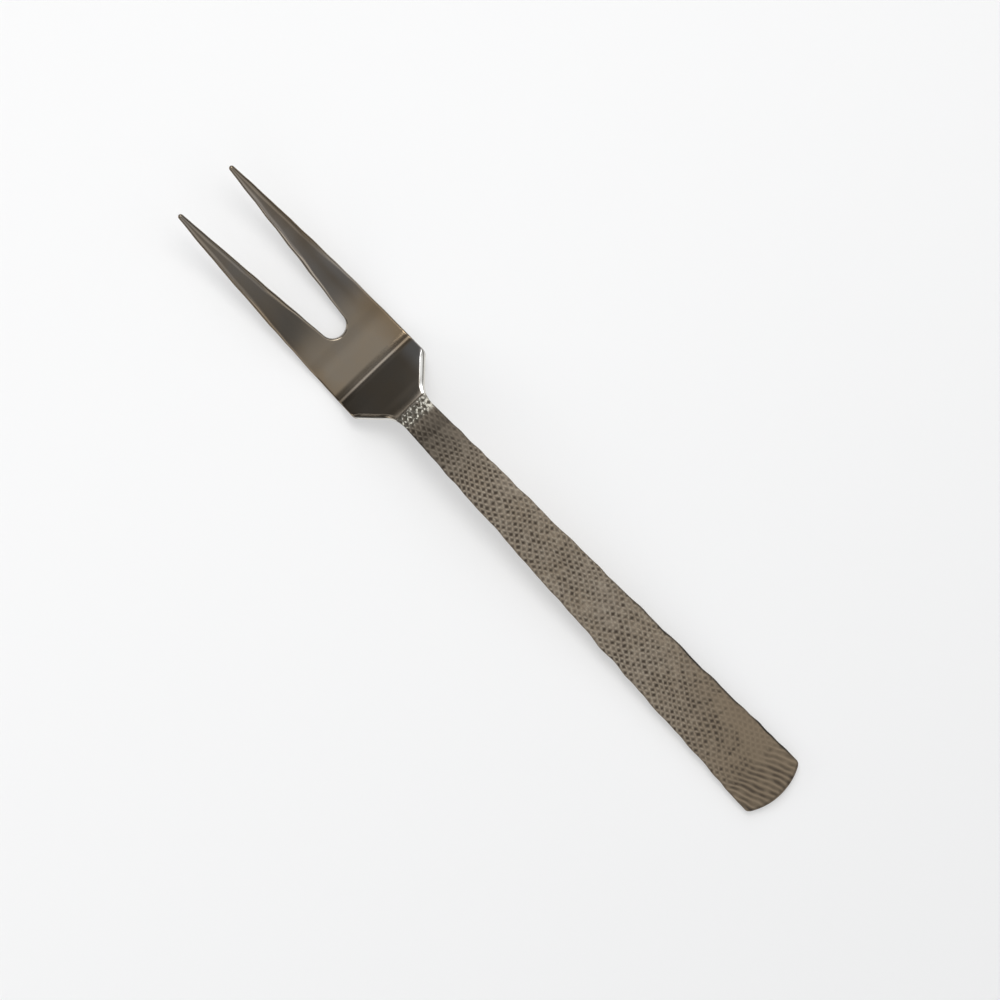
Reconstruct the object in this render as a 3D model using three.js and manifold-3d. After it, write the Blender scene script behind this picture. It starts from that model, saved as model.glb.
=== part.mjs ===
// Cold meat fork: a smooth two-tined head, bent up from a short foot and brazed at the neck to a flat handle.
// Millimetres. +X runs from the butt of the handle to the tips, +Z is up. The fork lies on the plane z = 0.
// Lengths are measured in plan, from the tips towards the butt.

import * as THREE from "three";
import { LoftGeometry } from "three/addons/geometries/LoftGeometry.js";
import { mergeVertices } from "three/addons/utils/BufferGeometryUtils.js";
import Module from "manifold-3d";

const wasm = await Module();
wasm.setup();

// Plan view: lengths
const OVERALL_LENGTH = 215;
const SLOT_LENGTH = 51; // from the tips to the bottom of the slot
const ROOT_LENGTH = 9.8; // plate from the slot to the start of the bend
const SHOULDER_SETBACK = 8.15; // from the start of the bend to the start of the shoulders
const SHOULDER_LENGTH = 7.95; // over which the head draws in to the neck
const TINE_KNEE_LENGTH = 27; // from the tips to the fullest part of a tine's outer edge

// Plan view: widths and radii
const HEAD_WIDTH = 25.2;
const TINE_KNEE_WIDTH = 24.1; // across both tines, where their edges would meet at the knee
const TIP_SPREAD = 19.4; // across the outsides of the two tips
const TINE_TIP_WIDTH = 1.3;
const SLOT_END_RADIUS = 3.5;
const NECK_WIDTH = 9.4;
const BUTT_WIDTH = 18.9;
const BUTT_END_RADIUS = 16.8;
const SHOULDER_CORNER = 1; // length taken by the round where a shoulder starts
const NECK_FILLET = 3; // length taken by the round where a shoulder runs into the neck

// Side view
const TIP_RISE = 14.5; // of the tips over the foot
const FOOT_LENGTH = 4.6; // flat ahead of the bend, on which the head lies
const ROOT_RADIUS = 16; // of the round by which the root plate leaves the foot
const ROOT_TILT = THREE.MathUtils.degToRad(9); // of the root plate, past that round
const BEND_RADIUS = 7.8; // of the bend between the foot and the ramp, at mid thickness
const RAMP_ANGLE = THREE.MathUtils.degToRad(35);
const NECK_RISE = 10.8; // of the crest over the foot
const CREST_RADIUS = 22;
const CREST_EASE = 26; // how far the handle keeps the level of the crest
const BUTT_EASE = 62; // how far the handle keeps the slope of the butt
const BUTT_SLOPE = THREE.MathUtils.degToRad(1.5);

// Thickness of the metal
const TIP_THICKNESS = 1.3;
const PLATE_THICKNESS = 2.4;
const NECK_THICKNESS = 2.8;
const BUTT_THICKNESS = 2.2;

// Rounded edges: an ellipse this wide and this deep, less where the metal is narrow or thin
const EDGE_WIDTH = 0.9;
const EDGE_DEPTH = 0.5;
const EDGE_SHARE = 0.3; // the most of a tine's width, or of the thickness, that one edge takes
const BUTT_ROUND = 0.8;

// Brazed scarf joint: the handle starts over the end of the shoulders and laps on to the tongue of the head
const SCARF_LENGTH = 8;
const BRAZE_THICKNESS = 0.1;

// Spacing of the sections, and the size by which cutting solids run past the metal
const TINE_STEP = 4;
const NECK_STEP = 1;
const HANDLE_STEP = 6;
const ROUND_STEPS = 4; // in a quarter turn
const SLOT_ARC_STEPS = 8; // in a quarter turn of the slot's end
const FLAT_COLUMNS = 6; // across the flat of a section
const BUTT_BOW_LENGTH = 24; // over which the sections bow out to the shape of the butt
const CUT_MARGIN = 3;
const FACET_OVERRUN = 1.25; // the slot's last facet runs past the face by a quarter of its length
const PATH_DIVISIONS = 2000; // for measuring along a path
const HALVINGS = 40; // in the search for a place on a path

const shoulderStart = SLOT_LENGTH + ROOT_LENGTH + SHOULDER_SETBACK;
const neckStart = shoulderStart + SHOULDER_LENGTH;
const bendStart = SLOT_LENGTH + ROOT_LENGTH;
const footStart = bendStart - FOOT_LENGTH;
const tiltStart = footStart - ROOT_RADIUS * Math.sin(ROOT_TILT);
const footLevel = PLATE_THICKNESS / 2;
const tipRadius = TINE_TIP_WIDTH / 2;
const rampRise = NECK_RISE - (BEND_RADIUS + CREST_RADIUS) * (1 - Math.cos(RAMP_ANGLE));
const rampStart = bendStart + BEND_RADIUS * Math.sin(RAMP_ANGLE);
const rampEnd = rampStart + rampRise / Math.tan(RAMP_ANGLE);
const crest = rampEnd + CREST_RADIUS * Math.sin(RAMP_ANGLE);

// Middle line of the metal in side view: (length from the tips, height)
function spinePath() {
  const crestLevel = footLevel + NECK_RISE;
  const buttLevel = BUTT_THICKNESS / 2;
  const tiltLevel = footLevel + ROOT_RADIUS * (1 - Math.cos(ROOT_TILT));
  const tineChord = new THREE.Vector2(tiltStart, footLevel + TIP_RISE - tiltLevel);
  const tipTilt = 2 * tineChord.angle() - ROOT_TILT;
  const tineRadius = tineChord.length() / (2 * Math.sin(tineChord.angle() - ROOT_TILT));
  const tineCentre = new THREE.Vector2(Math.sin(ROOT_TILT), Math.cos(ROOT_TILT))
    .multiplyScalar(tineRadius)
    .add(new THREE.Vector2(tiltStart, tiltLevel));
  const down = -Math.PI / 2;
  const up = Math.PI / 2;
  return new THREE.Path()
    .moveTo(0, footLevel + TIP_RISE)
    .absarc(tineCentre.x, tineCentre.y, tineRadius, down - tipTilt, down - ROOT_TILT, false)
    .absarc(footStart, footLevel + ROOT_RADIUS, ROOT_RADIUS, down - ROOT_TILT, down, false)
    .lineTo(bendStart, footLevel)
    .absarc(bendStart, footLevel + BEND_RADIUS, BEND_RADIUS, down, down + RAMP_ANGLE, false)
    .lineTo(rampEnd, crestLevel - CREST_RADIUS * (1 - Math.cos(RAMP_ANGLE)))
    .absarc(crest, crestLevel - CREST_RADIUS, CREST_RADIUS, up + RAMP_ANGLE, up, true)
    .bezierCurveTo(
      crest + CREST_EASE,
      crestLevel,
      OVERALL_LENGTH - BUTT_EASE,
      buttLevel + BUTT_EASE * Math.tan(BUTT_SLOPE),
      OVERALL_LENGTH,
      buttLevel,
    );
}

// Outer edge in plan view: (length from the tips, half width)
function edgePath() {
  const headHalf = HEAD_WIDTH / 2;
  const neckHalf = NECK_WIDTH / 2;
  const shoulder = new THREE.Vector2(SHOULDER_LENGTH, neckHalf - headHalf).normalize();
  return new THREE.Path()
    .moveTo(0, TIP_SPREAD / 2)
    .quadraticCurveTo(TINE_KNEE_LENGTH, TINE_KNEE_WIDTH / 2, shoulderStart - SHOULDER_CORNER, headHalf)
    .quadraticCurveTo(
      shoulderStart,
      headHalf,
      shoulderStart + SHOULDER_CORNER * shoulder.x,
      headHalf + SHOULDER_CORNER * shoulder.y,
    )
    .lineTo(neckStart - NECK_FILLET * shoulder.x, neckHalf - NECK_FILLET * shoulder.y)
    .quadraticCurveTo(neckStart, neckHalf, neckStart + NECK_FILLET, neckHalf)
    .lineTo(OVERALL_LENGTH, BUTT_WIDTH / 2);
}

const spine = spinePath();
const edge = edgePath();
for (const path of [spine, edge]) path.arcLengthDivisions = PATH_DIVISIONS;

// Place along a path, from 0 to 1, of the point with a given length from the tips
function placeAt(path, length) {
  let low = 0;
  let high = 1;
  for (let i = 0; i < HALVINGS; i++) {
    const middle = (low + high) / 2;
    if (path.getPointAt(middle).x < length) low = middle;
    else high = middle;
  }
  return (low + high) / 2;
}

const halfWidth = (length) => edge.getPointAt(placeAt(edge, length)).y;

function thickness(length) {
  const stations = [
    [0, TIP_THICKNESS],
    [SLOT_LENGTH, PLATE_THICKNESS],
    [rampStart, PLATE_THICKNESS],
    [crest, NECK_THICKNESS],
    [OVERALL_LENGTH, BUTT_THICKNESS],
  ];
  const clamped = THREE.MathUtils.clamp(length, 0, OVERALL_LENGTH);
  const next = Math.max(1, stations.findIndex(([at]) => at >= clamped));
  const [from, thick] = stations[next - 1];
  const [to, nextThick] = stations[next];
  return THREE.MathUtils.mapLinear(clamped, from, to, thick, nextThick);
}

// Point in space, at a distance across the fork and a height square to the middle line
// Past the tips the line runs on.
function place(length, across, height) {
  const at = placeAt(spine, length);
  const middle = spine.getPointAt(at);
  const along = spine.getTangentAt(at);
  middle.addScaledVector(along, Math.min(0, length) / along.x);
  return new THREE.Vector3(
    OVERALL_LENGTH / 2 - middle.x + along.y * height,
    across,
    middle.y + along.x * height,
  );
}

// Slot between the tines: straight edges tangent to a round end
const slotMouth = TIP_SPREAD / 2 - TINE_TIP_WIDTH;
const slotCentre = SLOT_LENGTH - SLOT_END_RADIUS;
const slotLean =
  Math.atan2(slotMouth, slotCentre) - Math.asin(SLOT_END_RADIUS / Math.hypot(slotMouth, slotCentre));
const slotTangent = slotCentre + SLOT_END_RADIUS * Math.sin(slotLean);

// Size of the rounded edge at a length from the tips
function edgeRound(length) {
  const tine = halfWidth(length) - (slotMouth - length * Math.tan(slotLean));
  return {
    width: length < slotTangent ? Math.min(EDGE_WIDTH, EDGE_SHARE * tine) : EDGE_WIDTH,
    depth: Math.min(EDGE_DEPTH, EDGE_SHARE * thickness(length)),
  };
}

const quarterTurn = Array.from({ length: ROUND_STEPS + 1 }, (_, i) => (i / ROUND_STEPS) * (Math.PI / 2));

// Share of the full section that is left at a distance from an end that closes in a round
const endShare = (distance, radius) => Math.sqrt(1 - (1 - Math.min(distance, radius) / radius) ** 2);

// Section of the blank at a length from the tips: a rectangle with rounded edges, bowed near the butt
function blankSection(length) {
  const fromButt = OVERALL_LENGTH - length;
  const tip = endShare(length, tipRadius);
  const butt = endShare(fromButt, BUTT_ROUND);
  const half = halfWidth(length) - tipRadius * (1 - tip) - BUTT_ROUND * (1 - butt);
  const round = edgeRound(length);
  const top = (thickness(length) / 2) * tip * butt;
  const depth = Math.min(round.depth, top);
  const flat = half - round.width;
  const corner = quarterTurn.map((turn) => [
    flat + round.width * Math.cos(turn),
    top - depth * (1 - Math.sin(turn)),
  ]);
  const crown = Array.from({ length: FLAT_COLUMNS - 1 }, (_, i) => [
    flat * ((2 * (i + 1)) / FLAT_COLUMNS - 1),
    top,
  ]);
  const upper = [...corner.map(([across, height]) => [-across, height]), ...crown, ...corner.toReversed()];
  const outline = [...upper, ...upper.map(([across, height]) => [across, -height]).reverse()];
  const bowShare = THREE.MathUtils.smoothstep(length, OVERALL_LENGTH - BUTT_BOW_LENGTH, OVERALL_LENGTH);
  return outline.map(([across, height]) => {
    const bow = BUTT_END_RADIUS - Math.sqrt(BUTT_END_RADIUS ** 2 - across ** 2);
    return place(length - bow * bowShare, across, height);
  });
}

// Evenly spaced lengths from one to another, without the last
function steps(from, to, step) {
  const count = Math.max(1, Math.round((to - from) / step));
  return Array.from({ length: count }, (_, i) => from + ((to - from) * i) / count);
}

// A closed mesh as a solid that can be cut and joined
function solid(geometry) {
  const bare = new THREE.BufferGeometry();
  bare.setAttribute("position", geometry.getAttribute("position"));
  bare.setIndex(geometry.getIndex());
  const merged = mergeVertices(bare);
  const corners = [...merged.index.array];
  const triangles = [];
  for (let i = 0; i < corners.length; i += 3) {
    const [a, b, c] = corners.slice(i, i + 3);
    if (a !== b && b !== c && c !== a) triangles.push(a, b, c);
  }
  return new wasm.Manifold(
    new wasm.Mesh({
      numProp: 3,
      vertProperties: merged.attributes.position.array,
      triVerts: new Uint32Array(triangles),
    }),
  );
}

// The whole fork as one form without its slot, lofted from the tips to the butt
function blank() {
  const neckEnd = neckStart + SCARF_LENGTH + CUT_MARGIN;
  const ends = quarterTurn.map((turn) => 1 - Math.cos(turn));
  const lengths = [
    ...ends.slice(0, -1).map((share) => share * tipRadius),
    ...steps(tipRadius, SLOT_LENGTH, TINE_STEP),
    SLOT_LENGTH,
    ...steps(tiltStart, footStart, NECK_STEP),
    footStart,
    ...steps(bendStart, neckEnd, NECK_STEP),
    ...steps(neckEnd, OVERALL_LENGTH - BUTT_ROUND, HANDLE_STEP),
    ...ends.map((share) => OVERALL_LENGTH - share * BUTT_ROUND).reverse(),
  ];
  return solid(new LoftGeometry(lengths.map(blankSection)));
}

// Outline of the slot, widened by a share of the rounded edge, at a share of the half thickness
function slotSection(widening, level) {
  const wide = (length) => widening * edgeRound(Math.max(0, length)).width;
  const height = (length) => level(thickness(length) / 2, edgeRound(Math.max(0, length)).depth);
  const mouthFlare = quarterTurn
    .slice(1)
    .map((turn) => [tipRadius * (1 - Math.cos(turn)), tipRadius * (1 - Math.sin(turn))]);
  const straight = [
    [-CUT_MARGIN, mouthFlare[0][1]],
    ...mouthFlare,
    ...steps(tipRadius, slotTangent, TINE_STEP)
      .slice(1)
      .map((length) => [length, 0]),
  ];
  const side = straight.map(([length, flare]) => [
    length,
    slotMouth - length * Math.tan(slotLean) + flare + wide(length),
  ]);
  const arcStart = Math.PI / 2 - slotLean;
  for (let i = 0; i < SLOT_ARC_STEPS; i++) {
    const turn = arcStart * (1 - i / SLOT_ARC_STEPS);
    const radius = SLOT_END_RADIUS + wide(slotTangent);
    side.push([slotCentre + radius * Math.cos(turn), radius * Math.sin(turn)]);
  }
  const bottom = [[SLOT_LENGTH + wide(SLOT_LENGTH), 0]];
  const other = side.map(([length, across]) => [length, -across]).reverse();
  return [...side, ...bottom, ...other].map(([length, across]) => place(length, across, height(length)));
}

// The slot as a solid to cut away, flaring at the faces to round the inner edges of the tines
function slotCutter() {
  const flare = quarterTurn.map((turn) => 1 - Math.cos(turn));
  const rise = quarterTurn.map((turn) => Math.sin(turn));
  const last = ROUND_STEPS;
  flare[last] = flare[last - 1] + FACET_OVERRUN * (flare[last] - flare[last - 1]);
  rise[last] = rise[last - 1] + FACET_OVERRUN * (rise[last] - rise[last - 1]);
  const upper = flare.map((widening, i) =>
    slotSection(widening, (half, depth) => half - depth * (1 - rise[i])),
  );
  const lower = flare.map((widening, i) =>
    slotSection(widening, (half, depth) => depth * (1 - rise[i]) - half),
  );
  const flatten = (section, height) => section.map((point) => point.clone().setZ(height));
  const above = flatten(upper[last], Math.max(...upper[last].map((point) => point.z)) + CUT_MARGIN);
  const below = flatten(lower[last], Math.min(...lower[last].map((point) => point.z)) - CUT_MARGIN);
  const levels = [below, ...lower.toReversed(), ...upper, above];
  return solid(new LoftGeometry(levels, { capStart: true, capEnd: true }));
}

// A prism across the fork from an outline in side view, given in world x and z
function prism(outline) {
  const depth = HEAD_WIDTH + BUTT_WIDTH;
  const geometry = new THREE.ExtrudeGeometry(new THREE.Shape(outline), { depth, bevelEnabled: false });
  geometry.rotateX(Math.PI / 2).translate(0, depth / 2, 0);
  return solid(geometry);
}

// The joint's cutting solids: what lies ahead of the scarf, the film of braze in it, and what lies behind
function scarfCutters() {
  const toSide = (point) => new THREE.Vector2(point.x, point.z);
  const top = toSide(place(neckStart, 0, thickness(neckStart) / 2));
  const tongueEnd = neckStart + SCARF_LENGTH;
  const tongue = toSide(place(tongueEnd, 0, -thickness(tongueEnd) / 2));
  const along = tongue.clone().sub(top).normalize();
  const up = new THREE.Vector2(along.y, -along.x).multiplyScalar(BRAZE_THICKNESS / 2);
  const start = top.addScaledVector(along, -CUT_MARGIN);
  const end = tongue.addScaledVector(along, CUT_MARGIN);
  const high = start.y + OVERALL_LENGTH;
  const low = end.y - OVERALL_LENGTH;
  const [startAbove, endAbove] = [start.clone().add(up), end.clone().add(up)];
  const [startBelow, endBelow] = [start.clone().sub(up), end.clone().sub(up)];
  const corner = (x, z) => new THREE.Vector2(x, z);
  return {
    ahead: prism([
      startBelow,
      endBelow,
      corner(endBelow.x, low),
      corner(OVERALL_LENGTH, low),
      corner(OVERALL_LENGTH, high),
      corner(startBelow.x, high),
    ]),
    film: prism([startAbove, endAbove, endBelow, startBelow]),
    behind: prism([
      startAbove,
      corner(startAbove.x, high),
      corner(-OVERALL_LENGTH, high),
      corner(-OVERALL_LENGTH, low),
      corner(endAbove.x, low),
      endAbove,
    ]),
  };
}

const steel = new THREE.MeshStandardMaterial({ color: 0x7a7062, metalness: 1, roughness: 0.34 });
const texturedSteel = new THREE.MeshStandardMaterial({ color: 0x766b5d, metalness: 1, roughness: 0.46 });
const braze = new THREE.MeshStandardMaterial({ color: 0x74695a, metalness: 1, roughness: 0.4 });

function piece(name, body, material) {
  const { numProp, vertProperties, triVerts } = body.getMesh();
  const geometry = new THREE.BufferGeometry();
  geometry.setAttribute("position", new THREE.BufferAttribute(vertProperties, numProp));
  geometry.setIndex(new THREE.BufferAttribute(triVerts, 1));
  geometry.computeVertexNormals();
  const mesh = new THREE.Mesh(geometry, material);
  mesh.name = name;
  return mesh;
}

const whole = blank();
const scarf = scarfCutters();
const fork = new THREE.Group();
fork.name = "cold_meat_fork";
fork.add(
  piece("fork_head", whole.intersect(scarf.ahead).subtract(slotCutter()), steel),
  piece("braze_seam", whole.intersect(scarf.film), braze),
  piece("handle", whole.intersect(scarf.behind), texturedSteel),
);

export default fork;
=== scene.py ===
# Looks of the cold meat fork: a satin head brazed to a handle that is pressed with a diamond net
import math

import bmesh
import bpy
import numpy as np
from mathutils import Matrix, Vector, noise


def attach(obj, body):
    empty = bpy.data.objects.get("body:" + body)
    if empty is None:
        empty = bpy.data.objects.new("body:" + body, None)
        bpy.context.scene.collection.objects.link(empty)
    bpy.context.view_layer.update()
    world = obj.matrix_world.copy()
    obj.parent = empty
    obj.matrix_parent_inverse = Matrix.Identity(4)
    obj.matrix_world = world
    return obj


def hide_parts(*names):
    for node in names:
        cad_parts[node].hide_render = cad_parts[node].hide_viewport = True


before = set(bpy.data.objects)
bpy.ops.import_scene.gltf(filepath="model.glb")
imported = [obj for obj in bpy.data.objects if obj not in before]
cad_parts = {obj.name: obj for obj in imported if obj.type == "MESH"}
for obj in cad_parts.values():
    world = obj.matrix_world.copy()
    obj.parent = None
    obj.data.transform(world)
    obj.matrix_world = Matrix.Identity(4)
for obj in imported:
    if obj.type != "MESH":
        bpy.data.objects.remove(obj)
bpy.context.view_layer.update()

MM = 0.001

# Plan view, in millimetres from the tips towards the butt
OVERALL_LENGTH = 215
SLOT_LENGTH = 51
ROOT_LENGTH = 9.8
SHOULDER_SETBACK = 8.15
SHOULDER_LENGTH = 7.95
TINE_KNEE_LENGTH = 27
HEAD_WIDTH = 25.2
TINE_KNEE_WIDTH = 24.1
TIP_SPREAD = 19.4
TINE_TIP_WIDTH = 1.3
SLOT_END_RADIUS = 3.5
NECK_WIDTH = 9.4
BUTT_WIDTH = 18.9
BUTT_END_RADIUS = 16.8
SHOULDER_CORNER = 1
NECK_FILLET = 3

# Side view
TIP_RISE = 14.5
FOOT_LENGTH = 4.6
ROOT_RADIUS = 16
ROOT_TILT = math.radians(9)
BEND_RADIUS = 7.8
RAMP_ANGLE = math.radians(35)
NECK_RISE = 10.8
CREST_RADIUS = 22
CREST_EASE = 26
BUTT_EASE = 62
BUTT_SLOPE = math.radians(1.5)

# Thickness of the metal, its edges and the brazed scarf
TIP_THICKNESS = 1.3
PLATE_THICKNESS = 2.4
NECK_THICKNESS = 2.8
BUTT_THICKNESS = 2.2
EDGE_WIDTH = 0.45
EDGE_SQUARENESS = 3.4
CROWN_WIDTH = 1.5  # of the round on each side of a tine
CROWN_SQUARENESS = 2
CROWN_EASE = 20  # over which that round comes in from the slot's end
PLATE_CROWN = 0.2
SHOULDER_CHAMFER = 0.9
SHOULDER_CHAMFER_DEPTH = 0.5
BUTT_ROUND = 0.8
BUTT_BOW_LENGTH = 24
SCARF_LENGTH = 8
BRAZE_THICKNESS = 0.1
CUT_ALLOWANCE = 2  # by which each mesh runs past the joint before it is cut

# Handwork: waves of the edges and faces, and the lengths over which they begin and end
EDGE_WAVE = 0.16
EDGE_WAVE_LENGTH = 4.5
EDGE_STATION = 0.5
SIDES_APART = 40  # in the noise, so that the two sides are unlike
TINE_WAVE = 0.06
FACE_WAVE = 0.03
FACE_WAVE_LENGTH = 7
TIP_SETTLE = 8
BEND_SETTLE = 10
SLOT_SETTLE = 8
NECK_SETTLE = 6

# Edges: a bright edge, partly steel worn bright and partly a painted highlight, narrow on the shaded
# side; and a darker edge of the handle
NARROW_BRIGHT_EDGE = 0.2
RIM_START = 135
RIM_FULL = 165
RIM_WIDTH = 0.7
RIM_CORE = 0.25

# Diamond net pressed into the upper face of the handle
NET_PITCH_ALONG = 2.57
NET_PITCH_ACROSS = 1.57
NET_DEPTH = 0.08
NET_SHARPNESS = 1.25
NET_WEAVE = 0.35  # how deep the lines of the net lie where they cross
NET_WARP = 0.45
NET_WARP_LENGTH = 11
NET_JITTER = 0.14
NET_JITTER_LENGTH = 2.6
NET_MARGIN = 0.3  # along the edges, where the net fades out
NET_BUTT_MARGIN = 1
NET_START_EASE = 0.3  # half the width of the line where the net begins
NET_START_WAVE = 0.5
NET_START_WAVE_LENGTH = 1.2
FAN_START = 201  # where one set of lines fades and the other is drawn out towards the butt
FAN_LENGTH = 6
FAN_STRETCH = 0.022

# How strongly the net is pressed, and what each kind of change adds to that or takes from it
STRENGTH = 1.05
STRENGTH_RANGE = (0.35, 1.3)
WORN_LOSS = 0.35
BLANK_LOSS = 0.85
FADE_LOSS = 0.35
FAINT_LOSS = 0.25
FAN_GAIN = 0.2
PATCH_CHANGE = 0.15
PATCH_LENGTH = 16
SINGLE_CHANGE = 0.35
SINGLE_LENGTH = 1.7

# Stretches where the net is weak, from the tips: two numbers where it eases in, four in and out again
FADE_STRETCH = (188, 202)
FAINT_STRETCH = (138, 144, 152, 158)
BLANK_STRETCH = (184, 193, 202, 207)

# Fineness of the curves and the meshes
EDGE_POINTS = 200
TINE_POINTS = 300
ROOT_POINTS = 60
TURN_POINTS = 100
SWEEP_POINTS = 600
ARC_ROWS = 50  # round half of the slot's end
BEND_ROWS = 32  # of those, how many end on the line of the bend
TINE_ROWS = 130
TINE_COLUMNS = 30
RAMP_ROWS = 130
HANDLE_ROWS = 690
NET_COLUMNS = 112
UNDER_COLUMNS = 28
ROW_CROWDING = 1.5  # how strongly the rows of a tine crowd towards its tip
WELD_DISTANCE = 0.002

# Camera in metres: its distance, the width of its frame and the point in the middle of the frame
CAMERA_DISTANCE = 4
FRAME_WIDTH = 0.2575
FRAME_CENTRE = (-0.0025, -0.00013, 0.008)

# Directions of the photograph's frame on the table, as angles from +X
PICTURE_RIGHT = math.radians(-133.62)
PICTURE_UP = PICTURE_RIGHT + math.pi / 2
PICTURE_LEFT = PICTURE_RIGHT + math.pi

# Table
FLOOR_REACH = 6
FLOOR_GLOW = 0.42  # share of the table's white that does not depend on the lamps

# Light of the studio by its direction along the fork, from -1 at the butt to 1 at the tips.
# Each entry has the direction, the level and the coolness of the light.
STUDIO_LEVELS = [
    (-0.90, 0.62, 0.04), (-0.72, 0.60, 0.05), (-0.56, 0.56, 0.10), (-0.50, 0.58, 0.13),
    (-0.45, 0.47, 0.14), (-0.41, 0.34, 0.13), (-0.355, 0.24, 0.12), (-0.315, 0.93, 0.02),
    (0.00, 1.00, 0.01), (0.10, 0.80, 0.02), (0.20, 0.46, 0.02), (0.34, 0.38, 0.02),
    (0.44, 0.50, 0.04), (0.50, 0.60, 0.05), (0.61, 0.68, 0.05), (0.65, 2.90, 0.08),
    (0.725, 2.90, 0.08), (0.76, 0.60, 0.06), (0.79, 0.32, 0.06), (0.84, 0.30, 0.06),
    (0.89, 0.42, 0.06), (0.94, 0.52, 0.06), (1.00, 0.50, 0.06),
]

bend_start = SLOT_LENGTH + ROOT_LENGTH
foot_start = bend_start - FOOT_LENGTH
tilt_start = foot_start - ROOT_RADIUS * math.sin(ROOT_TILT)
shoulder_start = bend_start + SHOULDER_SETBACK
neck_start = shoulder_start + SHOULDER_LENGTH
tongue_end = neck_start + SCARF_LENGTH
foot_level = PLATE_THICKNESS / 2
tip_radius = TINE_TIP_WIDTH / 2
ramp_rise = NECK_RISE - (BEND_RADIUS + CREST_RADIUS) * (1 - math.cos(RAMP_ANGLE))
ramp_start = bend_start + BEND_RADIUS * math.sin(RAMP_ANGLE)
ramp_end = ramp_start + ramp_rise / math.tan(RAMP_ANGLE)
crest = ramp_end + CREST_RADIUS * math.sin(RAMP_ANGLE)

slot_mouth = TIP_SPREAD / 2 - TINE_TIP_WIDTH
slot_centre = SLOT_LENGTH - SLOT_END_RADIUS
slot_reach = math.hypot(slot_mouth, slot_centre)
slot_lean = math.atan2(slot_mouth, slot_centre) - math.asin(SLOT_END_RADIUS / slot_reach)
slot_tangent = slot_centre + SLOT_END_RADIUS * math.sin(slot_lean)


def bezier(points, count=EDGE_POINTS):
    """Points along a curve with two or more control points."""
    share = np.linspace(0, 1, count)[:, None]
    level = [np.array(point, float) for point in points]
    while len(level) > 1:
        level = [a + (b - a) * share for a, b in zip(level, level[1:])]
    return level[0]


def side_view():
    """Middle line of the metal: lengths from the tips, heights, and slopes."""
    crest_level = foot_level + NECK_RISE
    tilt_level = foot_level + ROOT_RADIUS * (1 - math.cos(ROOT_TILT))
    chord = Vector((tilt_start, foot_level + TIP_RISE - tilt_level))
    chord_tilt = math.atan2(chord.y, chord.x)
    tine_radius = chord.length / (2 * math.sin(chord_tilt - ROOT_TILT))
    tine_lean = np.linspace(2 * chord_tilt - ROOT_TILT, ROOT_TILT, TINE_POINTS)
    root_lean = np.linspace(ROOT_TILT, 0, ROOT_POINTS)
    turn = np.linspace(0, RAMP_ANGLE, TURN_POINTS)
    butt = (OVERALL_LENGTH, BUTT_THICKNESS / 2)
    ease = (OVERALL_LENGTH - BUTT_EASE, BUTT_THICKNESS / 2 + BUTT_EASE * math.tan(BUTT_SLOPE))
    level_end = (crest + CREST_EASE, crest_level)
    sweep = bezier([(crest, crest_level), level_end, ease, butt], SWEEP_POINTS)

    def arc(length, level, radius, lean):
        return length + radius * np.sin(lean), level + radius * (1 - np.cos(lean))

    tine_foot = tilt_start + tine_radius * math.sin(ROOT_TILT)
    tine_level = tilt_level - tine_radius * (1 - math.cos(ROOT_TILT))
    parts = [
        arc(tine_foot, tine_level, tine_radius, -tine_lean),
        arc(foot_start, foot_level, ROOT_RADIUS, -root_lean),
        arc(bend_start, foot_level, BEND_RADIUS, turn),
        arc(crest, crest_level, -CREST_RADIUS, turn[::-1]),
        (sweep[1:, 0], sweep[1:, 1]),
    ]
    sweep_lean = np.arctan2(np.gradient(sweep[:, 1]), np.gradient(sweep[:, 0]))[1:]
    slopes = [-tine_lean, -root_lean, turn, turn[::-1], sweep_lean]
    return (*np.concatenate(parts, axis=1), np.concatenate(slopes))


def plan_edge():
    """Outer edge of the fork: lengths from the tips, and half widths."""
    head, neck = HEAD_WIDTH / 2, NECK_WIDTH / 2
    drop = Vector((SHOULDER_LENGTH, neck - head)).normalized()
    knee = (TINE_KNEE_LENGTH, TINE_KNEE_WIDTH / 2)
    corner = (shoulder_start - SHOULDER_CORNER, head)
    start = Vector((shoulder_start, head))
    end = Vector((neck_start, neck))
    points = np.concatenate([
        bezier([(0, TIP_SPREAD / 2), knee, corner]),
        bezier([corner, start, start + drop * SHOULDER_CORNER])[1:],
        bezier([end - drop * NECK_FILLET, end, (neck_start + NECK_FILLET, neck)]),
        [(OVERALL_LENGTH, BUTT_WIDTH / 2)],
    ])
    return points[:, 0], points[:, 1]


spine_lengths, spine_heights, spine_slopes = side_view()
edge_lengths, edge_halves = plan_edge()
edge_leans = np.cos(np.arctan(np.gradient(edge_halves, edge_lengths)))


def smooth(value, low, high):
    """0 below low, 1 above high, with an easy rise between."""
    share = np.clip((value - low) / (high - low), 0, 1)
    return share * share * (3 - 2 * share)


def stretch(value, start, full, last, end):
    """1 from full to last, 0 before start and after end, with an easy change between."""
    return smooth(value, start, full) * smooth(value, end, last)


def waves(length, across, size, seed):
    """Soft irregular waves between about -1 and 1."""
    length, across = np.broadcast_arrays(length, across)
    points = zip(length.ravel() / size, across.ravel() / size)
    return np.array([2 * noise.noise((a, b, seed)) for a, b in points]).reshape(length.shape)


def edge_wave(length, across, height, seed):
    """Waves of one edge, with the two sides of the fork unlike."""
    stations = np.arange(0, OVERALL_LENGTH + 1, EDGE_STATION)
    rows = [waves(stations, row, EDGE_WAVE_LENGTH, seed) for row in (0, SIDES_APART)]
    sides = [np.interp(length, stations, row) for row in rows]
    return height * np.where(np.asarray(across) < 0, *sides)


def half_width(length):
    return np.interp(length, edge_lengths, edge_halves)


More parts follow.
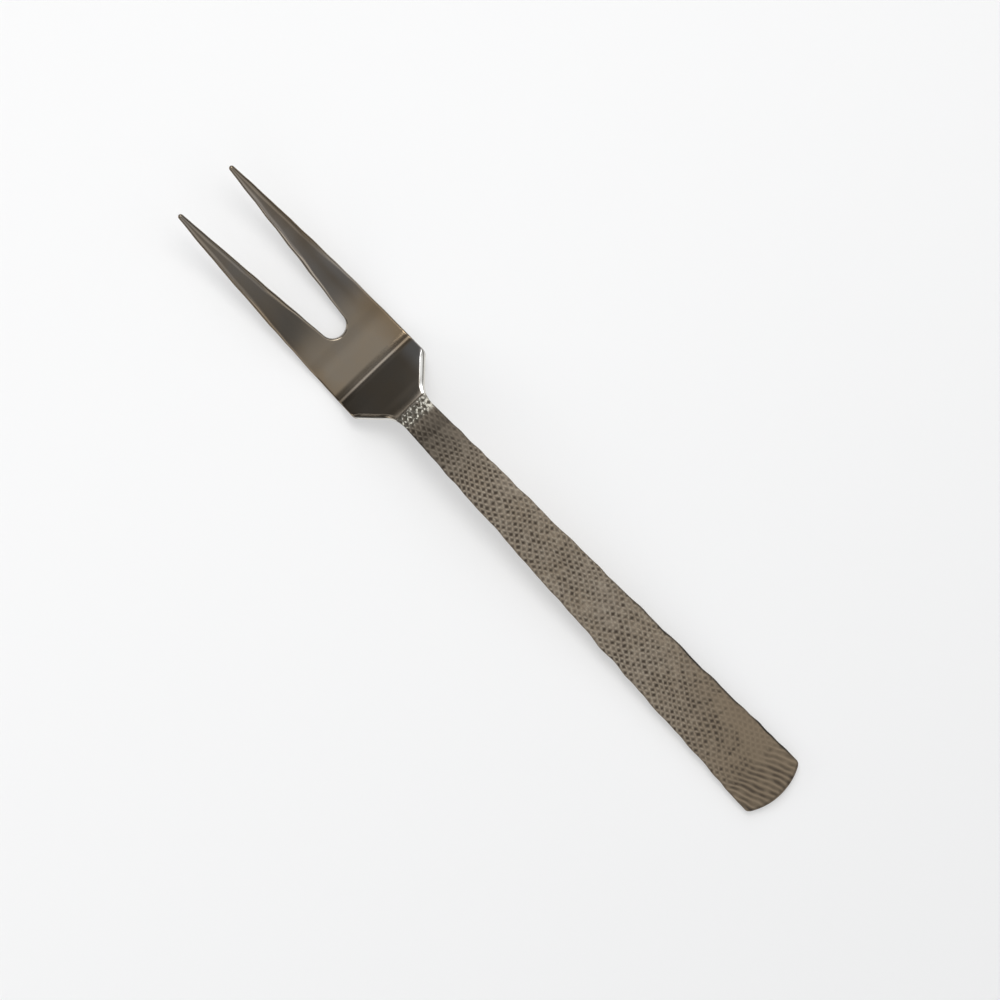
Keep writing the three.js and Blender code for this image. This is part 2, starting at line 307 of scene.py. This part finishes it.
def head_half(length, across):
    """Half width of the head with the waves of its filed edge."""
    settle = stretch(length, 0, TIP_SETTLE, bend_start - BEND_SETTLE, bend_start)
    return half_width(length) + settle * edge_wave(length, across, TINE_WAVE, seed=3.7)


def slot_half(length, across):
    """Half width of the slot with the waves of its filed sides."""
    settle = stretch(length, 0, TIP_SETTLE, slot_tangent - SLOT_SETTLE, slot_tangent)
    plain = slot_mouth - length * math.tan(slot_lean)
    return plain + settle * edge_wave(length, across, TINE_WAVE, seed=6.1)


def half_thickness(length):
    stations = [0, SLOT_LENGTH, ramp_start, crest, OVERALL_LENGTH]
    values = [TIP_THICKNESS, PLATE_THICKNESS, PLATE_THICKNESS, NECK_THICKNESS, BUTT_THICKNESS]
    return np.interp(length, stations, values) / 2


def end_share(distance, radius):
    """Share of the full section that is left near an end that closes in a round."""
    return np.sqrt(1 - (1 - np.minimum(distance, radius) / radius) ** 2)


def rounded(distance, width, squareness):
    """Share of the full height at a distance from an edge that is rounded over a width."""
    reach = np.clip(1 - distance / width, 0, 1)
    return (1 - reach**squareness) ** (1 / squareness)


def bent(length, across, height):
    """Points of the flat blank, bent to the side view and placed in the frame."""
    slope = np.interp(length, spine_lengths, spine_slopes)
    middle = np.interp(length, spine_lengths, spine_heights)
    x = OVERALL_LENGTH / 2 - length + np.sin(slope) * height
    z = middle + np.cos(slope) * height
    return np.stack([x, across + 0 * x, z], axis=-1) * MM


def sheet(bm, columns, rows, place):
    """A grid whose vertices go where place puts their two numbers, each from -1 to 1."""
    verts = bmesh.ops.create_grid(bm, x_segments=columns, y_segments=rows, size=1)["verts"]
    numbers = np.array([vert.co.xy for vert in verts])
    for vert, point in zip(verts, place(numbers[:, 0], numbers[:, 1])):
        vert.co = point
    return verts, numbers


def scarf_plane(side):
    """Point and normal of one face of the brazed joint: side is 1 at the handle, -1 at the head."""
    top = Vector(bent(neck_start, 0, half_thickness(neck_start)))
    foot = Vector(bent(tongue_end, 0, -half_thickness(tongue_end)))
    along = (foot - top).normalized()
    normal = Vector((along.z, 0, -along.x))
    return top + normal * (side * BRAZE_THICKNESS / 2 * MM), normal


def weld(bm):
    """Joins the sheets of a mesh where they meet."""
    bmesh.ops.remove_doubles(bm, verts=bm.verts, dist=WELD_DISTANCE * MM)


def close_holes(bm, sides=0):
    """Closes the holes of a mesh that have at most so many sides, or with 0 all of them."""
    open_edges = [edge for edge in bm.edges if edge.is_boundary]
    bmesh.ops.holes_fill(bm, edges=open_edges, sides=sides)


def cut_at_scarf(bm, side):
    """Cuts the mesh at its face of the joint, but nowhere far from it, and closes the cut."""
    point, normal = scarf_plane(side)
    near = [vert for vert in bm.verts if abs(vert.co.x - point.x) < 2 * SCARF_LENGTH * MM]
    reach = set(near)
    parts = [part for part in (*bm.edges, *bm.faces) if reach.issuperset(part.verts)]
    bmesh.ops.bisect_plane(
        bm, geom=near + parts, plane_co=point, plane_no=normal * side, clear_inner=True
    )
    close_holes(bm)


def finished(bm, name, node):
    """Turns a mesh's faces outward, shades it smooth and puts it in place of its node."""
    bmesh.ops.recalc_face_normals(bm, faces=bm.faces)
    mesh = bpy.data.meshes.new(name)
    bm.to_mesh(mesh)
    bm.free()
    mesh.shade_smooth()
    piece = bpy.data.objects.new(name, mesh)
    bpy.context.collection.objects.link(piece)
    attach(piece, "root")
    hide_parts(node)
    return piece


def on_shoulder(length):
    """1 along the slanting shoulders and 0 elsewhere."""
    start, full = shoulder_start - SHOULDER_CORNER, shoulder_start + SHOULDER_CORNER
    return stretch(length, start, full, neck_start - NECK_FILLET, neck_start)


def head_height(length, across):
    """Height of the head's upper face over its middle, rounded at the outer edge and at the slot."""
    tip = end_share(length, tip_radius)
    close = tip_radius * (1 - tip)
    tine = smooth(length, slot_tangent, slot_tangent - CROWN_EASE)
    outer, inner = head_half(length, across), slot_half(length, across)
    width = EDGE_WIDTH + tine * (CROWN_WIDTH - EDGE_WIDTH)
    width = np.minimum(width, np.maximum(outer - inner - 2 * close, 1e-6) / 2)
    squareness = EDGE_SQUARENESS + tine * (CROWN_SQUARENESS - EDGE_SQUARENESS)
    lean = np.interp(length, edge_lengths, edge_leans)
    to_edge = (outer - close - np.abs(across)) * lean
    to_side = (np.abs(across) - inner - close) * math.cos(slot_lean)
    to_round = np.hypot(length - slot_centre, across) - SLOT_END_RADIUS
    to_slot = np.where(length < slot_tangent, to_side, to_round)
    swell = rounded(to_edge, width, squareness) * rounded(to_slot, width, squareness)
    crown = PLATE_CROWN * (1 - tine) * (across / half_width(length)) ** 2
    cut = np.clip(1 - to_edge / SHOULDER_CHAMFER, 0, 1)
    chamfer = SHOULDER_CHAMFER_DEPTH * on_shoulder(length) * cut
    return (half_thickness(length) * tip - crown - chamfer) * swell


def tined_plan(u, v):
    """Plan of the tines and root: u runs round the slot from tip to tip, v from the slot outwards."""
    along = np.abs(u)
    arc_share = ARC_ROWS / (ARC_ROWS + TINE_ROWS)
    bend_share = BEND_ROWS / ARC_ROWS
    arc = np.clip(along / arc_share, 0, 1)
    run = np.clip((along - arc_share) / (1 - arc_share), 0, 1)
    on_arc = along <= arc_share
    on_bend = arc < bend_share + 1e-9
    straight = slot_tangent * (1 - run) ** ROW_CROWDING
    close = tip_radius * (1 - end_share(straight, tip_radius))
    turn = arc * (math.pi / 2 - slot_lean)
    inner_length = np.where(on_arc, slot_centre + SLOT_END_RADIUS * np.cos(turn), straight)
    inner_across = np.where(on_arc, SLOT_END_RADIUS * np.sin(turn), slot_half(straight, u) + close)
    up_edge = bend_start + (slot_tangent - bend_start) * (arc - bend_share) / (1 - bend_share)
    outer_length = np.where(on_arc, np.where(on_bend, bend_start, up_edge), straight)
    along_bend = half_width(bend_start) * np.sin(np.clip(arc / bend_share, 0, 1) * math.pi / 2)
    outer_across = np.where(on_bend, along_bend, head_half(outer_length, u) - close)
    share = (1 - np.cos((v + 1) * math.pi / 2)) / 2
    length = inner_length + (outer_length - inner_length) * share
    across = inner_across + (outer_across - inner_across) * share
    return length, across * np.sign(u)


def ramp_plan(u, v):
    """Plan of the ramp and the tongue: u runs from the bend towards the butt, v across."""
    length = bend_start + (tongue_end + CUT_ALLOWANCE - bend_start) * (u + 1) / 2
    return length, half_width(length) * np.sin(v * math.pi / 2)


def worn_and_lit_edge(length, across):
    """1 on the bright edges of the shoulders, partly steel worn bright and partly a painted highlight
    that is wider on the lit side, and 0 elsewhere.
    """
    lean = np.interp(length, edge_lengths, edge_leans)
    to_edge = (half_width(length) - np.abs(across)) * lean
    width = np.where(across < 0, SHOULDER_CHAMFER, NARROW_BRIGHT_EDGE)
    start, full = shoulder_start - SHOULDER_CORNER / 2, shoulder_start + SHOULDER_CORNER
    zone = stretch(length, start, full, neck_start, neck_start + NECK_FILLET)
    return smooth(to_edge, width, 0.8 * width) * zone


def head_face(bm, columns, rows, plan, side):
    """One sheet of the head on a plan: side is 1 for the upper face, -1 for the under face."""
    def place(u, v):
        length, across = plan(u, v)
        return bent(length, across, side * head_height(length, across))

    return sheet(bm, columns, rows, place)


def make_head():
    """The smooth head: tines, root, bend, ramp and tongue."""
    bm = bmesh.new()
    layer = bm.verts.layers.float.new("bare")
    for side in (1, -1):
        head_face(bm, 2 * (ARC_ROWS + TINE_ROWS), TINE_COLUMNS, tined_plan, side)
        verts, numbers = head_face(bm, RAMP_ROWS, 2 * BEND_ROWS, ramp_plan, side)
        for vert, bare in zip(verts, worn_and_lit_edge(*ramp_plan(numbers[:, 0], numbers[:, 1]))):
            vert[layer] = bare
    weld(bm)
    cut_at_scarf(bm, -1)
    return finished(bm, "satin_head", "fork_head")


def handle_section(u, v):
    """Plan, plain height and distance to the edge: u runs from the neck to the butt, v across."""
    start = neck_start - CUT_ALLOWANCE
    length = start + (OVERALL_LENGTH - start) * (u + 1) / 2
    butt = end_share(OVERALL_LENGTH - length, BUTT_ROUND)
    wave = edge_wave(length, v, EDGE_WAVE, seed=3.7)
    settle = smooth(length, tongue_end, tongue_end + NECK_SETTLE)
    half = half_width(length) + settle * wave - BUTT_ROUND * (1 - butt)
    across = half * (0.5 * v + 0.5 * np.sin(v * math.pi / 2))
    to_edge = half - np.abs(across)
    height = half_thickness(length) * butt * rounded(to_edge, EDGE_WIDTH, EDGE_SQUARENESS)
    bow = BUTT_END_RADIUS - np.sqrt(BUTT_END_RADIUS**2 - across**2)
    length = length - bow * smooth(length, OVERALL_LENGTH - BUTT_BOW_LENGTH, OVERALL_LENGTH)
    return length, across, height, to_edge


def net_pits(length, across, to_edge):
    """Depth of the pressed diamonds: 0 on the net, 1 in the middle of a well pressed diamond."""
    shift_along = NET_WARP * waves(length, across, NET_WARP_LENGTH, seed=11.3)
    shift_along += NET_JITTER * waves(length, across, NET_JITTER_LENGTH, seed=31.7)
    shift_across = NET_WARP * waves(length, across, NET_WARP_LENGTH, seed=27.1)
    shift_across += NET_JITTER * waves(length, across, NET_JITTER_LENGTH, seed=52.3)
    past = np.maximum(length - FAN_START, 0)
    along = (length + shift_along - past**2 * FAN_STRETCH) / NET_PITCH_ALONG
    sideways = (across + shift_across) / NET_PITCH_ACROSS
    valleys = [np.abs(np.sin(math.pi * (along + sign * sideways))) for sign in (1, -1)]
    fan = smooth(length, FAN_START, FAN_START + FAN_LENGTH)
    valleys[1] = valleys[1] + (1 - valleys[1]) * fan
    # The weave lowers the net where its lines cross, and the same share, kept as the pit attribute,
    # also paints them darker there as painted shade.
    weave = NET_WEAVE * (0.5 + 0.5 * np.cos(4 * math.pi * along)) * (1 - fan)
    pits = (np.minimum(*valleys) ** NET_SHARPNESS + weave) / (1 + NET_WEAVE)
    patch = waves(length, across, PATCH_LENGTH, seed=5.2)
    single = waves(length, across, SINGLE_LENGTH, seed=9.4)
    half = half_width(length)
    worn = smooth(-across - 1.5 * patch, 0.2 * half, 0.95 * half)
    blank = stretch(length, *BLANK_STRETCH) * smooth(-across + 2 * patch, 0, 4)
    strength = STRENGTH - FADE_LOSS * smooth(length, *FADE_STRETCH) + FAN_GAIN * fan
    strength -= FAINT_LOSS * stretch(length, *FAINT_STRETCH)
    strength *= (1 - WORN_LOSS * worn) * (1 - BLANK_LOSS * blank)
    strength += PATCH_CHANGE * patch + SINGLE_CHANGE * single
    return pits * np.clip(strength, *STRENGTH_RANGE) * inside(length, to_edge)


def pressed(length, across, pits):
    """0 on the dark metal next to the head and 1 past the ragged line where the net begins."""
    ragged = NET_START_WAVE * waves(length, across, NET_START_WAVE_LENGTH, seed=4.4) - 0.6 * pits
    return smooth(length + ragged, neck_start - NET_START_EASE, neck_start + NET_START_EASE)


def dark_rim(length, across, to_edge):
    """1 on the edge of the handle that is coloured darker towards the butt, and 0 elsewhere."""
    patch = 0.7 + 0.4 * waves(length, 0, size=5, seed=6.6)
    rim = smooth(to_edge, RIM_WIDTH, RIM_CORE) * smooth(-across, 0, 1)
    return patch * rim * smooth(length, RIM_START, RIM_FULL)


def inside(length, to_edge):
    """0 on the edges of the handle and 1 on its face."""
    return smooth(to_edge, 0, NET_MARGIN) * smooth(OVERALL_LENGTH - length, 0, NET_BUTT_MARGIN)


def make_handle():
    """The flat handle: a pressed upper face, plain underside and bowed butt."""
    bm = bmesh.new()
    pit_layer = bm.verts.layers.float.new("pit")
    net_layer = bm.verts.layers.float.new("net")
    rim_layer = bm.verts.layers.float.new("rim")

    def upper(u, v):
        length, across, height, to_edge = handle_section(u, v)
        wave = FACE_WAVE * waves(length, across, FACE_WAVE_LENGTH, seed=8.9)
        wave *= inside(length, to_edge)
        pits = net_pits(length, across, to_edge)
        relief = pressed(length, across, pits) * (wave - NET_DEPTH * pits)
        return bent(length, across, height + relief)

    def under(u, v):
        length, across, height, _ = handle_section(u, v)
        return bent(length, across, -height)

    def mark(verts, numbers, net_share):
        length, across, _, to_edge = handle_section(numbers[:, 0], numbers[:, 1])
        pits = net_share * net_pits(length, across, to_edge)
        begun = pressed(length, across, pits)
        for vert, pit, net, rim in zip(verts, pits, begun, dark_rim(length, across, to_edge)):
            vert[pit_layer] = pit
            vert[net_layer] = net
            vert[rim_layer] = rim

    mark(*sheet(bm, HANDLE_ROWS, NET_COLUMNS, upper), 1)
    mark(*sheet(bm, HANDLE_ROWS, UNDER_COLUMNS, under), 0)
    weld(bm)
    close_holes(bm, sides=8)
    cut_at_scarf(bm, 1)
    return finished(bm, "pressed_handle", "handle")


class Value:
    """A shader socket that takes part in Python sums: each sum adds a Math node to its tree."""

    def __init__(self, socket):
        self.socket = socket

    def math(self, operation, *terms):
        node = self.socket.id_data.nodes.new("ShaderNodeMath")
        node.operation = operation
        for slot, term in zip(node.inputs, terms):
            feed(slot, term)
        return Value(node.outputs[0])

    def __add__(self, other):
        return self.math("ADD", self, other)

    def __radd__(self, other):
        return self.math("ADD", other, self)

    def __sub__(self, other):
        return self.math("SUBTRACT", self, other)

    def __rsub__(self, other):
        return self.math("SUBTRACT", other, self)

    def __mul__(self, other):
        return self.math("MULTIPLY", self, other)

    def __rmul__(self, other):
        return self.math("MULTIPLY", other, self)


def feed(slot, term):
    """Links a value to a socket, or sets a number or colour on it."""
    if isinstance(term, Value):
        slot.id_data.links.new(term.socket, slot)
    else:
        slot.default_value = term


class Tree:
    """The shader tree of a material or world. Places in it are in metres in the fork's frame."""

    def __init__(self, owner):
        owner.use_nodes = True
        self.nodes = owner.node_tree.nodes
        self.nodes.clear()

    def node(self, kind, settings, inputs, output=0):
        node = self.nodes.new("ShaderNode" + kind)
        for name, setting in settings.items():
            if name == "stops":
                for stop, (position, colour) in zip(self.stops(node, len(setting)), setting):
                    stop.position = position
                    stop.color = colour
            else:
                setattr(node, name, setting)
        for name, term in inputs.items():
            feed(node.inputs[name], term)
        return Value(node.outputs[output]) if node.outputs else node

    @staticmethod
    def stops(node, count):
        elements = node.color_ramp.elements
        while len(elements) < count:
            elements.new(1)
        return elements

    def place(self):
        return self.node("TexCoord", {}, {}, "Object")

    def axis(self, name, vector=None):
        return self.node("SeparateXYZ", {}, {"Vector": vector or self.place()}, name)

    def layer(self, name):
        return self.node("Attribute", {"attribute_name": name}, {}, "Fac")

    def stretched(self, scale):
        return self.node("Mapping", {}, {"Vector": self.place(), "Scale": scale})

    def noise(self, vector, scale, detail=3, roughness=0.55):
        inputs = {"Vector": vector, "Scale": scale, "Detail": detail, "Roughness": roughness}
        return self.node("TexNoise", {}, inputs)

    def between(self, value, low, high):
        inputs = {"Value": value, "From Min": low, "From Max": high}
        return self.node("MapRange", {"interpolation_type": "SMOOTHSTEP"}, inputs)

    def mix(self, share, first, second):
        inputs = {"Factor": share, 6: first, 7: second}
        return self.node("Mix", {"data_type": "RGBA"}, inputs, 2)

    def bump(self, height, distance, strength):
        return self.node("Bump", {}, {"Height": height, "Distance": distance, "Strength": strength})


def metal(tree, colour, roughness, normal):
    """Closes a metal's tree."""
    inputs = {"Base Color": colour, "Roughness": roughness, "Metallic": 1.0, "Normal": normal}
    shader = tree.node("BsdfPrincipled", {}, inputs)
    tree.node("OutputMaterial", {}, {"Surface": shader})


def satin_steel():
    """Head: bronze-grey satin metal with a golden cast towards its edges and fine rubbing marks,
    painted shade in the crease of the bend, and painted reflections on the -Y tine, the ramp's -Y
    side and the shoulders' edges.
    """
    material = bpy.data.materials.new("satin_steel")
    tree = Tree(material)
    cloud = tree.noise(tree.place(), 120, 4)
    streak = tree.noise(tree.stretched((60, 900, 300)), 1, 5)
    along, across = tree.axis("X"), tree.axis("Y")
    outer = tree.between(across.math("ABSOLUTE", across - 0.0015) + 0.004 * cloud, 0.0085, 0.015)
    cloudy = tree.between(cloud, 0.3, 0.7)
    plain = tree.mix(cloudy, (0.195, 0.166, 0.130, 1), (0.205, 0.166, 0.120, 1))
    # Painted reflection: the -Y tine is painted paler, and so is a strip along its outer edge.
    pale = (0.262, 0.228, 0.187, 1)
    on_tines = tree.between(along, 0.056, 0.068)
    plain = tree.mix(on_tines * tree.between(across, 0.006, -0.006), plain, pale)
    patina = tree.mix(outer, plain, (0.175, 0.132, 0.086, 1))
    pale_side = on_tines * tree.between(along, 0.083, 0.070) * tree.between(across, -0.0082, -0.0102)
    patina = tree.mix(pale_side, patina, pale)
    # Painted shade: dark marks across the crease of the bend, on both sides.
    crease_shade_left = 0.45 * tree.between(along, 0.0423, 0.0432) * tree.between(across, 0.005, 0.0105)
    crease_shade_right = 0.35 * tree.between(along, 0.0439, 0.0447) * tree.between(across, -0.003, -0.009)
    crease_shade = (crease_shade_left + crease_shade_right) * tree.between(along, 0.0466, 0.0452)
    patina = tree.mix(crease_shade, patina, (0.04, 0.032, 0.024, 1))
    # Painted reflection: the -Y side of the ramp is painted lighter and cooler.
    on_ramp = tree.between(along, 0.0300, 0.0340) * tree.between(along, 0.0436, 0.0424)
    lit_ramp_side = on_ramp * tree.between(across, -0.0060, -0.0105)
    patina = tree.mix(lit_ramp_side, patina, (0.30, 0.28, 0.255, 1))
    # The shoulders' bright edges: partly steel worn bright, partly a painted highlight that is wider
    # on the lit -Y side.
    bare = tree.layer("bare")
    colour = tree.mix(bare, patina, (0.72, 0.70, 0.65, 1))
    roughness = 0.10 + 0.04 * cloud + 0.04 * streak
    metal(tree, colour, roughness, tree.bump(streak, 0.000004, 0.2))
    return material


def pressed_steel():
    """Handle: the same metal, dark in the pressed diamonds and burnished on the net, with painted
    shade towards the neck, near the crest and where the net's lines cross, and painted glints next to
    the head.
    """
    material = bpy.data.materials.new("pressed_steel")
    tree = Tree(material)
    pit = tree.layer("pit")
    cloud = tree.noise(tree.place(), 110, 4)
    grain = tree.noise(tree.place(), 2600, 3)
    net = tree.mix(tree.between(cloud, 0.35, 0.7), (0.278, 0.230, 0.174, 1), (0.257, 0.207, 0.149, 1))
    fine = tree.noise(tree.place(), 1500, 2)
    net = tree.mix(0.4 * tree.between(fine, 0.45, 0.65), net, (0.42, 0.37, 0.29, 1))
    along, across = tree.axis("X"), tree.axis("Y")
    butt = tree.between(along + 0.02 * cloud + 1.3 * across, -0.045, -0.085)
    net = tree.mix(butt, net, (0.209, 0.163, 0.112, 1))
    # Painted shade: the net and its hollows are painted darker towards the neck.
    neck = tree.between(along, 0.001, 0.0235)
    net = tree.mix(neck, net, (0.114, 0.096, 0.075, 1))
    hollow = tree.mix(neck, (0.070, 0.055, 0.041, 1), (0.036, 0.029, 0.022, 1))
    worked = tree.mix(pit, net, hollow)
    # Painted shade: a dark band across the handle just before the crest.
    shade_band = tree.between(along, 0.0205, 0.0222) * tree.between(along, 0.0262, 0.0240)
    worked = tree.mix(0.45 * shade_band, worked, (0.05, 0.042, 0.033, 1))
    # Painted glints: next to the head the net's ridges are painted bright in spots, more on the lit
    # -Y side.
    lit_side = 0.12 * tree.between(across, -0.001, -0.0045)
    glint_share = tree.between(fine + lit_side, 0.46, 0.64)
    glint_colour = tree.mix(glint_share, (0.10, 0.09, 0.074, 1), (0.54, 0.51, 0.43, 1))
    glint = tree.mix(tree.between(pit, 0.1, 0.5), glint_colour, (0.075, 0.066, 0.052, 1))
    worked = tree.mix(tree.between(along, 0.0262, 0.0275), worked, glint)
    begun = tree.layer("net")
    rim = tree.layer("rim")
    worked = tree.mix(rim, worked, (0.04, 0.034, 0.027, 1))
    colour = tree.mix(begun, (0.10, 0.085, 0.066, 1), worked)
    roughness = 0.12 + begun * (0.29 + 0.10 * pit + 0.06 * grain)
    metal(tree, colour, roughness, tree.bump(grain, 0.00002, 0.3))
    return material


def braze_film():
    """Seam: a dressed line of filler in the tone of the steel."""
    material = bpy.data.materials.new("braze_film")
    tree = Tree(material)
    cloud = tree.noise(tree.place(), 400, 3)
    colour = tree.mix(cloud, (0.11, 0.092, 0.07, 1), (0.09, 0.075, 0.056, 1))
    metal(tree, colour, 0.12 + 0.04 * cloud, tree.bump(cloud, 0.000004, 0.2))
    return material


def make_floor():
    """A wide pale table top, painted lighter towards the tips as painted light."""
    bm = bmesh.new()
    bmesh.ops.create_grid(bm, x_segments=1, y_segments=1, size=FLOOR_REACH)
    mesh = bpy.data.meshes.new("table_top")
    bm.to_mesh(mesh)
    bm.free()
    floor = bpy.data.objects.new("table_top", mesh)
    bpy.context.collection.objects.link(floor)
    material = bpy.data.materials.new("table_white")
    tree = Tree(material)
    # Painted light: the table's colour and glow grow lighter towards the tips, as the lamps' light
    # falls off towards the butt.
    light_falloff = tree.between(tree.axis("X"), -0.25, 0.1)
    colour = tree.mix(light_falloff, (0.828, 0.816, 0.794, 1), (0.887, 0.874, 0.85, 1))
    glow = tree.mix(light_falloff, (0.86, 0.86, 0.855, 1), (0.917, 0.917, 0.912, 1))
    lit = tree.node("BsdfPrincipled", {}, {"Base Color": colour, "Roughness": 0.7})
    bright = tree.node("Emission", {}, {"Color": glow})
    seen = tree.node("LightPath", {}, {}, "Is Camera Ray")
    for kind in ("Glossy", "Transmission"):
        seen = seen.math("MAXIMUM", seen, tree.node("LightPath", {}, {}, f"Is {kind} Ray"))
    shader = tree.node("MixShader", {}, {"Fac": FLOOR_GLOW * seen, 1: lit, 2: bright})
    tree.node("OutputMaterial", {}, {"Surface": shader})
    mesh.materials.append(material)


def make_camera():
    """A camera straight above the fork, turned to the photograph's frame."""
    data = bpy.data.cameras.new("overhead")
    data.lens = data.sensor_width * CAMERA_DISTANCE / FRAME_WIDTH
    camera = bpy.data.objects.new("overhead", data)
    camera.location = Vector(FRAME_CENTRE) + Vector((0, 0, CAMERA_DISTANCE))
    camera.rotation_euler = (0, 0, PICTURE_RIGHT)
    bpy.context.collection.objects.link(camera)
    bpy.context.scene.camera = camera


def softbox(name, azimuth, from_zenith, distance, size, power):
    """A soft round lamp that faces the fork."""
    data = bpy.data.lights.new(name, "AREA")
    data.shape = "DISK"
    data.size = size
    data.energy = power
    lamp = bpy.data.objects.new(name, data)
    flat = math.sin(from_zenith)
    direction = Vector((flat * math.cos(azimuth), flat * math.sin(azimuth), math.cos(from_zenith)))
    lamp.location = distance * direction
    lamp.rotation_euler = lamp.location.to_track_quat("Z", "Y").to_euler()
    lamp.visible_camera = False
    bpy.context.collection.objects.link(lamp)


def make_light():
    """A soft key lamp, a weak lamp on the left, and a studio that varies along the fork."""
    softbox("key", PICTURE_UP, math.radians(25), distance=0.8, size=0.34, power=1.78)
    softbox("lamp_left", PICTURE_LEFT, math.radians(70), distance=0.8, size=0.36, power=1.1)
    world = bpy.data.worlds.new("studio")
    bpy.context.scene.world = world
    tree = Tree(world)
    direction = tree.node("TexCoord", {}, {}, "Generated")
    along, across, up = [tree.axis(name, direction) for name in "XYZ"]
    stops = []
    for x, level, cool in STUDIO_LEVELS:
        stops.append(((x + 1) / 2, (level * (1 - cool / 2), level, level * (1 + cool), 1)))
    level = tree.node("ValToRGB", {"stops": stops}, {"Fac": 0.5 * along + 0.5})
    high = tree.between(up, 0.1, 0.5)
    left = tree.between(across + 0.3 * tree.between(along, 0.4, 0.55), 0.1, 0.5)
    right = tree.between(across + 0.3 * tree.between(along, 0.1, 0.3), -0.5, -0.65)
    key_side = tree.between(across, -0.10, -0.22) * (1 - right)
    tine_sides = tree.between(along, -0.1, -0.35) * (2 * left + right)
    sides = 1 - 0.7 * left - 0.7 * right + key_side + tine_sides
    shader = tree.node("Background", {}, {"Color": level, "Strength": 0.1 + 0.9 * high * sides})
    tree.node("OutputWorld", {}, {"Surface": shader})


make_camera()
make_light()
make_floor()
make_head().data.materials.append(satin_steel())
make_handle().data.materials.append(pressed_steel())
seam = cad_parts["braze_seam"]
seam.material_slots[0].material = braze_film()

bpy.context.scene.view_settings.view_transform = "Standard"
